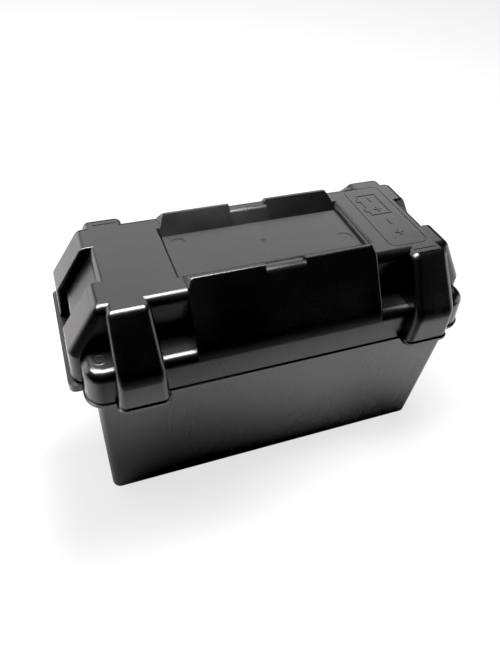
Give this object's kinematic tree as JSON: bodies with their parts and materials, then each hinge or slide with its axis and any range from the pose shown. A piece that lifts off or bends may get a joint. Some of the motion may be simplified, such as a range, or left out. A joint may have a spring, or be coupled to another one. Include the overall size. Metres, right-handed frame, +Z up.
{
  "type": "battery box",
  "caption": "Black plastic battery box: a deep drafted tub with end hand grips, a lift-off ribbed hood lid with strap channels, and a removable battery spacer.",
  "frame": {"origin": "middle of the underside", "axes": "+X along the long side, +Y from the front to the back, +Z up"},
  "size_m": [0.428, 0.2238, 0.2555],
  "materials": {
    "lid_plastic": "semi-gloss black polypropylene, fine moulded texture",
    "tub_plastic": "semi-gloss black polypropylene, smooth with faint flow lines",
    "spacer_plastic": "satin black polypropylene"
  },
  "bodies": {
    "tub": {"tub": "tub_plastic"},
    "lid": {"lid": "lid_plastic"},
    "spacer": {"battery_spacer": "spacer_plastic"}
  },
  "joints": [
    {"name": "lid_lift", "type": "slide", "parent": "tub", "child": "lid", "axis": [0, 0, 1], "range_m": [0, 0.16]},
    {"name": "spacer_lift", "type": "slide", "parent": "tub", "child": "spacer", "axis": [0, 0, 1], "range_m": [0, 0.075]}
  ]
}
